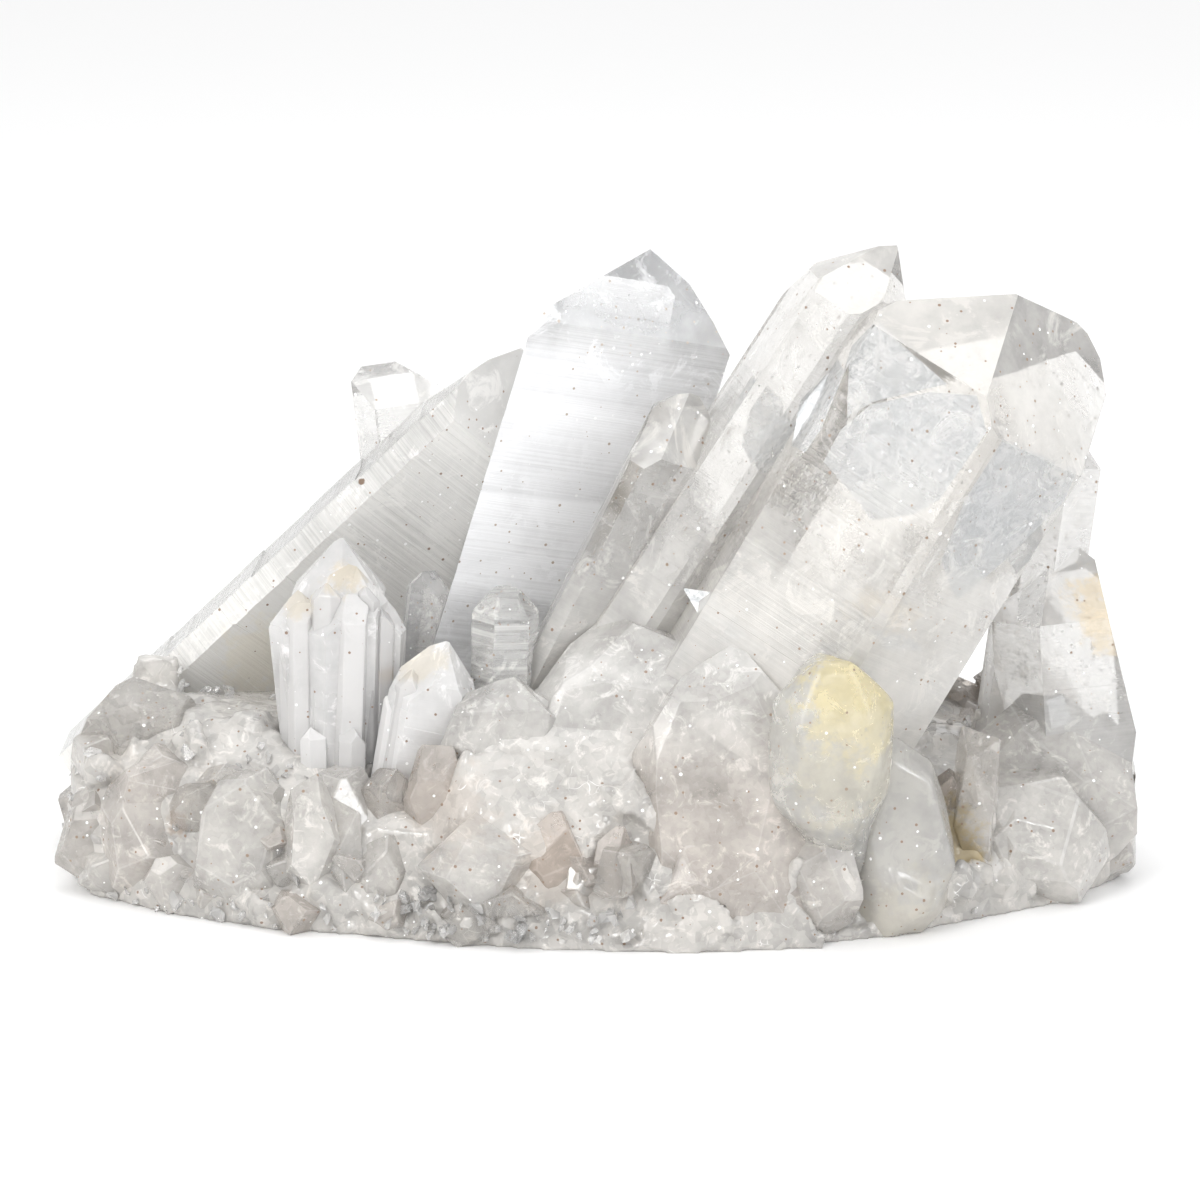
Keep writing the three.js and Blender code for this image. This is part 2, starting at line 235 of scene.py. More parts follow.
def quartzFinish(name, look):
    material = bpy.data.materials.new(name)
    material.use_nodes = True
    tree = material.node_tree
    shader = tree.nodes["Principled BSDF"]
    output = tree.nodes["Material Output"]
    place = node(tree, "ShaderNodeTexCoord").outputs["Object"]
    rise, growth, side, paintedLight = (
        node(tree, "ShaderNodeAttribute", {"attribute_name": layer}).outputs["Fac"]
        for layer in ("rise", "growth", "side", "paintedLight")
    )
    bands = node(tree, "ShaderNodeTexNoise", {"noise_dimensions": "1D"}, {
        "W": growth, "Scale": look["striations"], "Detail": 4.0, "Roughness": 0.75,
    }).outputs[0]
    banded = maths(tree, "MULTIPLY", maths(tree, "SUBTRACT", bands, 0.5), side)

    low = maths(tree, "SUBTRACT", 1.0, smoothStep(tree, rise, *look["milkRise"]))
    milk = maths(tree, "MULTIPLY_ADD", low, look["rootMilk"], look["allMilk"])
    clouds = maths(tree, "SUBTRACT", cloudNoise(tree, place, look["cloudSize"]), 0.5)
    milk = maths(tree, "MULTIPLY_ADD", clouds, look["cloudMilk"], milk)
    wisps = smoothStep(tree, cloudNoise(tree, place, look["wispSize"], 6.0, 0.7, 1.2), 0.52, 0.7)
    milk = maths(tree, "MULTIPLY_ADD", wisps, look["wispMilk"], milk)
    milk = maths(tree, "MULTIPLY_ADD", banded, look["bandMilk"], milk)
    milk = maths(tree, "MULTIPLY_ADD", maths(tree, "SUBTRACT", 1.0, side), look["pointMilk"], milk)
    if look["grain"]:
        grains = node(tree, "ShaderNodeTexVoronoi", {}, {"Vector": place, "Scale": 1 / (look["grainSize"] * mm)})
        shade = node(tree, "ShaderNodeSeparateColor", {}, {"Color": grains.outputs["Color"]}).outputs[1]
        milk = maths(tree, "MULTIPLY_ADD", maths(tree, "SUBTRACT", shade, 0.5), look["grain"], milk)
    # Painted light and shade: the face's milk change paints single faces lighter and darker.
    milk = maths(tree, "ADD", milk, paintedLight)
    milk = maths(tree, "MAXIMUM", maths(tree, "MINIMUM", milk, 1.0), 0.0)

    shown = blendColour(tree, milk, look["clearColour"], look["milkColour"])
    open = maths(tree, "MULTIPLY_ADD", milk, look["milkOpen"] - look["clearOpen"], look["clearOpen"])
    rough = maths(tree, "MULTIPLY_ADD", milk, look["milkRough"] - look["clearRough"], look["clearRough"])

    warm, highlightEdge, extra = (
        node(tree, "ShaderNodeAttribute", {"attribute_name": layer}).outputs["Fac"]
        for layer in ("warm", "highlightEdge", "clear")
    )
    height = node(tree, "ShaderNodeSeparateXYZ", {}, {"Vector": place}).outputs["Z"]
    high = smoothStep(tree, height, look["paleFrom"] * mm, look["paleTo"] * mm)
    warm = maths(tree, "MULTIPLY", warm, maths(tree, "SUBTRACT", 1.0, high))
    shown = blendColour(tree, high, shown, look["paleColour"])
    shown = blendColour(tree, warm, shown, look["warmColour"])
    open = maths(tree, "MULTIPLY_ADD", extra, maths(tree, "SUBTRACT", 0.95, open), open)
    # Painted highlight: the narrow faces along the edges are blended towards white and made less clear.
    shown = blendColour(tree, maths(tree, "MULTIPLY", highlightEdge, look["edgeHighlight"]), shown, (0.96, 0.96, 0.97))
    open = maths(tree, "MULTIPLY", open, maths(tree, "MULTIPLY_ADD", highlightEdge, -0.5 * look["edgeHighlight"], 1.0))
    wander = maths(tree, "SUBTRACT", cloudNoise(tree, place, 2.6, 7.0, 0.72), 0.5)
    for centre, radius, colour, strength in look["stains"]:
        mask = maths(tree, "MULTIPLY", stainMask(tree, place, wander, centre, radius), strength)
        shown = blendColour(tree, mask, shown, colour)
        open = maths(tree, "MULTIPLY", open, maths(tree, "MULTIPLY_ADD", mask, -0.25, 1.0))

    if look["seams"]:
        seams = seamMask(tree, place, look["seamSize"], look["seamWidth"], look["seams"])
        shown = blendColour(tree, seams, shown, (0.97, 0.97, 0.97))
        open = maths(tree, "MULTIPLY", open, maths(tree, "MULTIPLY_ADD", seams, -0.75, 1.0))
    bright = dotMask(tree, place, look["speckSpacing"] * 1.3, look["speckSize"] * 1.1, 0.25)
    dark = dotMask(tree, place, look["speckSpacing"], look["speckSize"], look["speckShare"])
    shown = blendColour(tree, bright, shown, (0.97, 0.97, 0.97))
    shown = blendColour(tree, dark, shown, look["speckColour"])
    dots = maths(tree, "MAXIMUM", bright, dark)
    open = maths(tree, "MULTIPLY", open, maths(tree, "MULTIPLY_ADD", dots, -0.9, 1.0))

    ripple = cloudNoise(tree, place, look["rippleSize"], 3.0, 0.5)
    height = maths(tree, "MULTIPLY", banded, look["striationDepth"])
    height = maths(tree, "MULTIPLY_ADD", ripple, look["rippleDepth"], height)
    if look["grain"]:
        height = maths(tree, "MULTIPLY_ADD", shade, look["grainDepth"], height)
    bump = node(tree, "ShaderNodeBump", {}, {"Height": height, "Distance": 1 * mm, "Strength": 1.0})
    tree.links.new(shown, shader.inputs["Base Color"])
    tree.links.new(open, shader.inputs["Transmission Weight"])
    tree.links.new(rough, shader.inputs["Roughness"])
    tree.links.new(bump.outputs[0], shader.inputs["Normal"])
    shader.inputs["IOR"].default_value = 1.544
    depth = {"Color": (*look["depthColour"], 1), "Density": look["depthDensity"]}
    inside = node(tree, "ShaderNodeVolumeAbsorption", {}, depth)
    tree.links.new(inside.outputs[0], output.inputs["Volume"])
    return material


clearLook = {
    "clearColour": (0.97, 0.97, 0.97), "milkColour": (0.88, 0.865, 0.84), "warmColour": (0.72, 0.62, 0.545),
    # edgeHighlight: how much painted highlight goes on the narrow edge faces
    "clearOpen": 0.95, "milkOpen": 0.35, "edgeHighlight": 0.12,
    "clearRough": 0.02, "milkRough": 0.16,
    "milkRise": (0.0, 0.6), "rootMilk": 0.45, "allMilk": 0.12,
    "cloudMilk": 0.9, "cloudSize": 12.0, "wispMilk": 0.45, "wispSize": 5.0, "bandMilk": 0.2,
    "grain": 0, "grainSize": 1.5, "grainDepth": 0.0,
    "pointMilk": 0.0, "paleFrom": 500, "paleTo": 600, "paleColour": (0.88, 0.865, 0.84),  # mm above the floor
    "seams": 0, "seamSize": 3.5, "seamWidth": 0.1,
    "speckSpacing": 0.85, "speckShare": 0.3, "speckSize": 0.2, "speckColour": (0.28, 0.2, 0.15),
    "striations": 1.8, "striationDepth": 0.025, "rippleSize": 4.0, "rippleDepth": 0.08,
    "depthColour": (0.95, 0.92, 0.86), "depthDensity": 4.0,
    "stains": [],
}
amber = (0.80, 0.64, 0.40)
umber = (0.58, 0.49, 0.41)
longQuartz = quartzFinish("longQuartz", {
    **clearLook, "striationDepth": 0.12, "bandMilk": 0.7, "allMilk": 0.75, "milkOpen": 0.2, "milkColour": (0.91, 0.9, 0.875),
    "stains": [
        ((-40.0, 8.0, 24.0), 4.5, (0.86, 0.80, 0.66), 0.5), ((-28.3, 5.6, 46.8), 0.32, (0.2, 0.12, 0.07), 1.0),
    ],
})
paleQuartz = quartzFinish("paleQuartz", {
    **clearLook, "striationDepth": 0.06, "bandMilk": 0.4, "allMilk": 0.2, "milkColour": (0.95, 0.955, 0.97),
    "milkOpen": 0.12, "milkRise": (0.74, 0.9), "rootMilk": 0.75, "speckColour": (0.45, 0.38, 0.32),
})
greatQuartz = quartzFinish("greatQuartz", {
    **clearLook, "milkRise": (0.05, 0.62), "rootMilk": 0.8, "milkColour": (0.77, 0.752, 0.72), "milkOpen": 0.3,
    "pointMilk": 0.25, "cloudMilk": 1.5, "cloudSize": 9.0, "wispMilk": 0.55, "wispSize": 6.0,
    "depthColour": (0.81, 0.775, 0.72), "depthDensity": 42.0,
    "stains": [((33.0, -21.0, 38.0), 3.5, (0.74, 0.67, 0.57), 0.5)],
})
stubQuartz = quartzFinish("stubQuartz", {
    **clearLook, "allMilk": 0.4, "milkColour": (0.79, 0.77, 0.74),
    "stains": [((61.5, -3.0, 33.0), 4.0, amber, 0.7)],
})
fanQuartz = quartzFinish("fanQuartz", {
    **clearLook, "allMilk": 0.6, "milkColour": (0.965, 0.955, 0.95), "milkOpen": 0.2, "bandMilk": 0.0,
    "stains": [
        ((-30.5, -10.5, 40.5), 3.0, (0.76, 0.64, 0.44), 0.6),
        ((-35.0, -11.0, 36.5), 2.2, (0.78, 0.68, 0.50), 0.5),
        ((-20.5, -15.5, 29.5), 2.4, (0.80, 0.70, 0.52), 0.45),
        ((-24.8, -11.5, 27.2), 0.8, (0.78, 0.55, 0.28), 0.8),
    ],
})
clearQuartz = quartzFinish("clearQuartz", {**clearLook, "allMilk": 0.25, "milkOpen": 0.25})
bandedQuartz = quartzFinish("bandedQuartz", {
    **clearLook, "allMilk": 0.3, "milkOpen": 0.2, "bandMilk": 1.2, "striations": 1.0, "milkColour": (0.93, 0.92, 0.88),
})
yellowQuartz = quartzFinish("yellowQuartz", {
    **clearLook, "milkColour": (0.83, 0.81, 0.755), "allMilk": 0.5, "rootMilk": 0.1, "milkOpen": 0.4,
    "cloudMilk": 1.2, "cloudSize": 5.0, "milkRough": 0.32, "clearRough": 0.15, "bandMilk": 0.0, "striationDepth": 0.0, "rippleDepth": 0.25, "wispSize": 3.0,
    "stains": [
        ((30.6, -32.0, 30.0), 5.6, (0.87, 0.75, 0.40), 0.8),
        ((30.5, -33.0, 21.5), 6.0, (0.85, 0.79, 0.62), 0.5),
    ],
})
greyQuartz = quartzFinish("greyQuartz", {
    **clearLook, "milkColour": (0.82, 0.80, 0.76), "cloudMilk": 1.2, "cloudSize": 6.0, "allMilk": 0.4, "bandMilk": 0.0, "striationDepth": 0.0,
    "milkOpen": 0.5, "stains": [((37.0, -27.0, 2.0), 5.0, (0.78, 0.71, 0.56), 0.35)],
})
massLook = {
    **clearLook, "milkColour": (0.85, 0.815, 0.77), "clearColour": (0.92, 0.905, 0.875),
    "clearOpen": 0.8, "milkOpen": 0.25, "clearRough": 0.04, "milkRough": 0.1, "allMilk": 0.55, "rootMilk": 0.0,
    "cloudMilk": 1.3, "cloudSize": 7.0, "wispMilk": 0.5, "wispSize": 2.5,
    "grain": 0.25, "grainSize": 1.1, "grainDepth": 0.02, "seams": 0.1, "seamSize": 2.4, "seamWidth": 0.06,
    "bandMilk": 0.0, "striationDepth": 0.0, "rippleDepth": 0.2, "rippleSize": 2.2,
    "paleFrom": 15, "paleTo": 30, "depthColour": (0.85, 0.79, 0.73), "depthDensity": 36.0,
    "stains": [
        ((-5.5, -30.5, 9.0), 4.0, umber, 0.4),
        ((-49.0, -17.0, 10.5), 1.6, umber, 0.8),
        ((-52.5, -15.0, 5.5), 2.2, umber, 0.7),
        ((-46.0, -19.0, 4.5), 1.6, umber, 0.6),
        ((-17.5, -28.0, 15.5), 4.5, (0.70, 0.63, 0.57), 0.6),
        ((41.0, -18.0, 8.0), 4.0, (0.62, 0.50, 0.28), 0.85),
    ],
}
milkyQuartz = quartzFinish("milkyQuartz", massLook)
bodyQuartz = quartzFinish("bodyQuartz", {
    **massLook, "clearOpen": 0.88, "milkOpen": 0.3, "clearRough": 0.02, "milkRough": 0.07, "allMilk": 0.55,
    "milkColour": (0.885, 0.855, 0.815), "grain": 0.1, "grainSize": 0.7, "seams": 0, "rippleDepth": 0.1, "rippleSize": 3.5,
    "cloudMilk": 1.4, "wispMilk": 0.5,
})
shardQuartz = quartzFinish("shardQuartz", {
    **clearLook, "allMilk": 0.35, "rootMilk": 0.0, "cloudMilk": 0.9, "bandMilk": 0.0, "striationDepth": 0.0,
    "clearOpen": 0.9, "clearRough": 0.03, "milkColour": (0.84, 0.82, 0.79),
})
print("finishes made")


# Crystals

clusterShift = Vector((0.5725, -3.489, 0))  # mm, from the numbers below to the frame

# Each crystal's axis, root to tip, in mm.
axes = {
    "left_long": [((-57.6, 22.8, 2.6), (7.2, 19.2, 64.3))],
    "back_left": [((-20.5, 28.3, 12), (-25.8, 33.6, 59.4))],
    "centre_tall": [((-12.4, 12.6, 10), (7.5, 4.4, 76.6))],
    "right_group": [
        ((-6, -3.2, 24), (12.6, -4.2, 61.7)),
        ((-6.6, -3, 14.7), (34.7, -0.6, 79.6)),
        ((20, -9.6, 18), (54.4, -7.2, 76.8)),
    ],
    "right_stub": [((50, 4, 10), (56, 8.5, 55.5)), ((58.4, 2.8, 3), (55.4, 4.3, 42.3))],
    "yellow_front": [((26.9, -17.7, 8), (26.9, -29, 36.6))],
    "fan_group": [
        ((-33.7, -6, 8), (-36.4, -6, 37.6)),
        ((-31.1, -7, 7), (-30.1, -7, 41.6)),
        ((-32.4, -1, 8), (-31, -1, 42.6)),
        ((-27.3, -6, 7), (-25.8, -6, 38.6)),
        ((-24.6, -11.9, 4), (-18.3, -12.1, 33.4)),
    ],
    "small_clear": [((-11.7, -8.3, 17), (-11.1, -7.7, 39.4))],
    "small_blade": [((-22.4, 1.5, 16), (-19.7, 2.2, 39.8))],
    "front_grey": [((34.5, -15.2, 2), (36.2, -22.5, 18.8))],
    "back_mid": [((2, 20, 10), (13, 29, 45))],
    "back_right": [((30, 16, 8), (43, 26, 38))],
    "back_low": [((-40, 19, 6), (-45, 29, 25))],
}

# The piece for each solid: its name, finish, record slot, growth ledges on each side and their depth in mm.
dressed = {
    "left_long": ("longCrystal", longQuartz, "clear_quartz", 28, 0.16),
    "back_left": ("farCrystal", clearQuartz, "clear_quartz", 8, 0.12),
    "centre_tall": ("paleCrystal", paleQuartz, "clear_quartz", 20, 0.06),
    "right_group": ("greatCrystals", greatQuartz, "clear_quartz", 5, 0.07),
    "right_stub": ("stubCrystals", stubQuartz, "clear_quartz", 4, 0.08),
    "fan_group": ("fanCrystals", fanQuartz, "clear_quartz", 7, 0.1),
    "small_clear": ("bandedCrystal", bandedQuartz, "clear_quartz", 16, 0.14),
    "small_blade": ("bladeCrystal", clearQuartz, "clear_quartz", 6, 0.1),
    "back_mid": ("rearCrystal", clearQuartz, "clear_quartz", 12, 0.12),
    "back_right": ("rearWideCrystal", clearQuartz, "clear_quartz", 10, 0.12),
    "back_low": ("rearLowCrystal", clearQuartz, "clear_quartz", 6, 0.1),
}

ledgeLook = {"seed": 21, "rise": 0.07, "tilt": 0.05}  # rise: mm along the axis that a ledge takes


# Painted light and shade in single faces: a face's milk is raised to paint it lighter and lowered to paint it darker,
# standing for the light that falls on it. (x mm, z mm) where the camera's line to the face meets y = 0, and the
# change.
paintedFaceLight = {
    "right_group": [
        ((43.0, 66.3), 0.45), ((53.8, 59.8), 0.15), ((31.5, 72.9), 0.3), ((10.9, 53.9), 0.2),
        ((7.3, 53.9), 0.2), ((28.6, 74.3), 0.3), ((44.2, 35.4), 0.1),
    ],
    "left_long": [((-40.4, 38.4), -0.6), ((-36.0, 39.9), -0.15), ((-27.4, 39.1), 0.2)],
    "back_left": [((-24.3, 59.8), 0.12)],
    "right_stub": [((58.0, 34.7), 0.2)],
}


def cameraRay(x, z):
    eye = bpy.context.scene.camera.location
    return eye, (Vector((x, 0, z)) * mm - eye).normalized()


def cadMesh(name):
    made = bmesh.new()
    made.from_mesh(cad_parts[name].data)
    bmesh.ops.remove_doubles(made, verts=made.verts, dist=0.002 * mm)
    flat = math.radians(0.3)
    bmesh.ops.dissolve_limit(made, angle_limit=flat, verts=made.verts, edges=made.edges)
    made.normal_update()
    return made


def placePiece(name, mesh, material, slotName, replaced=()):
    mesh.materials.append(material)
    piece = bpy.data.objects.new(name, mesh)
    bpy.context.scene.collection.objects.link(piece)
    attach(piece, "root")
    if replaced:
        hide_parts(*replaced)
    return piece


def meshFrom(made, name):
    mesh = bpy.data.meshes.new(name)
    made.to_mesh(mesh)
    made.free()
    return mesh


def axisLines(nodeName):
    lines = []
    for root, tip in axes[nodeName]:
        start = (Vector(root) + clusterShift) * mm
        end = (Vector(tip) + clusterShift) * mm
        lines.append((start, (end - start).normalized(), (end - start).length))
    return lines


def ownAxis(face, lines):
    # The crystal that a face belongs to: its sides lie along the axis, its point faces lean from it.
    pointLean = math.cos(math.radians(51.8))
    centre = face.calc_center_median()

    def misfit(line):
        start, way, _ = line
        lean = abs(face.normal.dot(way))
        off = centre - start
        reach = (off - way * off.dot(way)).length / mm
        return min(lean, abs(lean - pointLean)) * 20 + reach * 0.02

    return min(range(len(lines)), key=lambda i: misfit(lines[i]))


def cutLedges(made, faces, line, count, rng):
    # Cuts pairs of lines across one side. Returns each ledge's plane.
    start, way, length = line
    ledges = []
    places = sorted(rng.uniform(0.03, 0.97) * length for _ in range(count))
    for place in places:
        tilt = Vector([rng.gauss(0, ledgeLook["tilt"]) for _ in range(3)])
        normal = (way + tilt).normalized()
        middle = start + way * place
        for shift in (-0.5, 0.5):
            point = middle + normal * shift * ledgeLook["rise"] * mm
            crossed, rest = [], []
            for face in faces:
                heights = [(v.co - point).dot(normal) for v in face.verts]
                (crossed if min(heights) < 0 < max(heights) else rest).append(face)
            if not crossed:
                continue
            edges = {e for f in crossed for e in f.edges}
            verts = {v for f in crossed for v in f.verts}
            cut = bmesh.ops.bisect_plane(
                made, geom=[*crossed, *edges, *verts], dist=1e-7, plane_co=point, plane_no=normal
            )
            faces = rest + [g for g in cut["geom"] if isinstance(g, bmesh.types.BMFace)]
        ledges.append((middle, normal))
    return ledges


def dressCrystal(nodeName, pieceName, material, slotName, count, depth):
    rng = random.Random(ledgeLook["seed"] + len(nodeName) * 7 + count)
    made = cadMesh(nodeName)
    lines = axisLines(nodeName)
    owner = made.faces.layers.int.new("owner")
    sideOf = made.faces.layers.int.new("sideOf")
    paintedLight = made.faces.layers.float.new("paintedLightOf")
    made.faces.ensure_lookup_table()
    tree = BVHTree.FromBMesh(made)
    # Painted light and shade: the faces that get a milk change are found along the camera's lines.
    for (x, z), change in paintedFaceLight.get(nodeName, []):
        hit = tree.ray_cast(*cameraRay(x, z))[2]
        if hit is not None:
            made.faces[hit][paintedLight] = change
    sides = {}
    for face in made.faces:
        chosen = ownAxis(face, lines)
        start, way, length = lines[chosen]
        face[owner] = chosen
        face[sideOf] = -1
        if abs(face.normal.dot(way)) < 0.05:
            front = Vector((0, -1, 0))
            front = (front - way * front.dot(way)).normalized()
            turn = math.atan2(face.normal.dot(way.cross(front)), face.normal.dot(front))
            key = (chosen, round(turn / 0.12))
            sides.setdefault(key, []).append(face)
    levels = []
    for number, (key, faces) in enumerate(sorted(sides.items(), key=lambda item: item[0])):
        for face in faces:
            face[sideOf] = number
        line = lines[key[0]]
        share = max(3, int(count * line[2] / max(l[2] for l in lines)))
        normal = faces[0].normal.copy()
        ledges = cutLedges(made, faces, line, share, rng)
        heights = [-depth * rng.random() * mm for _ in range(len(ledges) + 1)]
        levels.append((normal, ledges, heights))
    moves = {}
    for vert in made.verts:
        pulls, normals = [], []
        for face in vert.link_faces:
            number = face[sideOf]
            normal = levels[number][0] if number >= 0 else face.normal
            if any(normal.dot(other) > 0.999 for other in normals):
                continue
            normals.append(normal)
            if number >= 0:
                _, ledges, heights = levels[number]
                passed = sum((vert.co - point).dot(up) > 0 for point, up in ledges)
                pulls.append(heights[passed])
            else:
                pulls.append(0.0)
        if any(pulls):
            rows = np.array([n[:] for n in normals])
            move = np.linalg.lstsq(rows, np.array(pulls), rcond=0.05)[0]
            size = np.linalg.norm(move)
            limit = 2.5 * depth * mm
            moves[vert] = Vector(move * min(1.0, limit / max(size, 1e-9)))
    for vert, move in moves.items():
        vert.co += move
    # The painted light and shade of each face is carried in its own layer, next to growth, rise and side.
    growth, rise, side, paintedLightLayer = (
        made.loops.layers.float.new(layer) for layer in ("growth", "rise", "side", "paintedLight")
    )
    for face in made.faces:
        start, way, length = lines[face[owner]]
        for loop in face.loops:
            along = (loop.vert.co - start).dot(way)
            loop[growth] = along / mm + 37.0 * face[sideOf]
            loop[rise] = along / length
            loop[side] = 1.0 if face[sideOf] >= 0 else 0.0
            loop[paintedLightLayer] = face[paintedLight]
    placePiece(pieceName, meshFrom(made, pieceName), material, slotName, (nodeName,))


for nodeName, values in dressed.items():
    dressCrystal(nodeName, *values)
print("crystals dressed")


# The two worn crystals in front, and the milky base

def cutBody(planes, size):
    # What is left of a block when each plane has cut off its outer side.
    made = bmesh.new()
    bmesh.ops.create_cube(made, size=2 * size)
    for normal, reach in planes:
        everything = [*made.verts, *made.edges, *made.faces]
        cut = bmesh.ops.bisect_plane(
            made, geom=everything, dist=1e-6, plane_co=normal * reach, plane_no=normal, clear_outer=True
        )
        rim = [g for g in cut["geom_cut"] if isinstance(g, bmesh.types.BMEdge)]
        if len(rim) > 2:
            bmesh.ops.edgeloop_fill(made, edges=rim)
    return made


def bodyPlanes(count, rng):
    turn = Matrix.Rotation(rng.uniform(0, math.tau), 3, Vector([rng.gauss(0, 1) for _ in range(3)]))
    broken = Vector((rng.gauss(0, 0.22), -1, rng.gauss(0.1, 0.22))).normalized()
    planes = [(broken, rng.uniform(0.74, 0.86))]
    for i in range(count):
        height = 1 - (2 * i + 1) / count
        ring = math.sqrt(1 - height * height)
        way = Vector((ring * math.cos(2.4 * i), ring * math.sin(2.4 * i), height))
        way += Vector([rng.gauss(0, 0.16) for _ in range(3)])
        planes.append(((turn @ way).normalized(), rng.uniform(0.86, 1.0)))
    return planes


def leaningFrame(middle, half, lean):
    # lean: degrees that the top goes back.
    turn = Matrix.Rotation(math.radians(-lean), 4, "X")
    return Matrix.Translation(Vector(middle) * mm) @ turn @ Matrix.Diagonal(Vector(half) * mm).to_4x4()


def bodyAt(middle, half, facets, rng):
    made = cutBody(bodyPlanes(facets, rng), 1.4)
    made.transform(leaningFrame(middle, half, 0))
    return made


def blendedForm(solids, voxel, smoothing):
    # One closed skin round several meshes, with its corners worn down.
    whole = bmesh.new()
    for made in solids:
        mesh = meshFrom(made, "part")
        whole.from_mesh(mesh)
    form = bpy.data.objects.new("form", meshFrom(whole, "form"))
    bpy.context.scene.collection.objects.link(form)
    remesh = form.modifiers.new("remesh", "REMESH")
    remesh.mode = "VOXEL"
    remesh.voxel_size = voxel * mm
    worn = form.modifiers.new("worn", "SMOOTH")
    worn.iterations = smoothing
    worn.factor = 0.5
    depsgraph = bpy.context.evaluated_depsgraph_get()
    fine = bpy.data.meshes.new_from_object(form.evaluated_get(depsgraph))
    bpy.data.objects.remove(form)
    made = bmesh.new()
    made.from_mesh(fine)
    made.normal_update()
    return made


worn = {
    "yellow_front": ("yellowCrystal", yellowQuartz, "yellow_quartz", 0.4, 24, [((27.2, -28.0, 21.8), (7.5, 6.6, 12.6), 40)]),
    "front_grey": ("greyCrystal", greyQuartz, "grey_quartz", 0.5, 14, [
        ((35.4, -23.5, 9.6), (6.4, 6.0, 11.6), 18), ((35.2, -24.5, 4.5), (6.2, 6.0, 6.5), 18),
    ]),
}
wornRng = random.Random(4)
for nodeName, (pieceName, material, slotName, voxel, smoothing, added) in worn.items():
    made = blendedForm([cadMesh(nodeName)] + [bodyAt(*values, wornRng) for values in added], voxel, smoothing)
    for vert in made.verts:
        vert.co.z = max(vert.co.z, 0)
    for face in made.faces:
        face.smooth = True
    placePiece(pieceName, meshFrom(made, pieceName), material, slotName, (nodeName,))

mass = {
    "voxel": 0.6,  # mm
    "smoothing": 2,
    "facets": (8.5, 3.0),  # mm across
    "facetDepth": (1.2, 0.3),  # mm
}


def facetDrop(point, size, depth, shift):
    # Flat leaning facets, one for each cell of a scattered pattern.
    at = point / (size * mm) + Vector((shift, shift, shift))
    middle = noise.voronoi(at)[1][0]
    lean = noise.cell_vector(middle * 7.3) - Vector((0.5, 0.5, 0.5))
    return ((at - middle).dot(lean) * 1.4 - 0.5 * noise.cell(middle * 5.1)) * depth * mm


def makeMass(look):
    made = blendedForm([cadMesh("druse_base")], look["voxel"], look["smoothing"])
    low, high = (Vector(corner) for corner in cadBox)
    moves = []
    for vert in made.verts:
        drop = 0.0
        for number, (size, depth) in enumerate(zip(look["facets"], look["facetDepth"])):
            drop += min(0.0, facetDrop(vert.co, size, depth, 11.7 * number))
        foot = min(1.0, max(0.0, (vert.co.z / mm - 0.2) / 1.5))
        moves.append((vert, vert.normal * drop * foot))
    for vert, move in moves:
        vert.co += move
        for i in range(3):
            vert.co[i] = min(max(vert.co[i], low[i]), high[i])
    bmesh.ops.triangulate(made, faces=made.faces)
    made.normal_update()
    for face in made.faces:
        face.smooth = True
    return made


massForm = makeMass(mass)
print("druseMass", len(massForm.faces), "faces")


# Faceted quartz bodies that stand out of the base

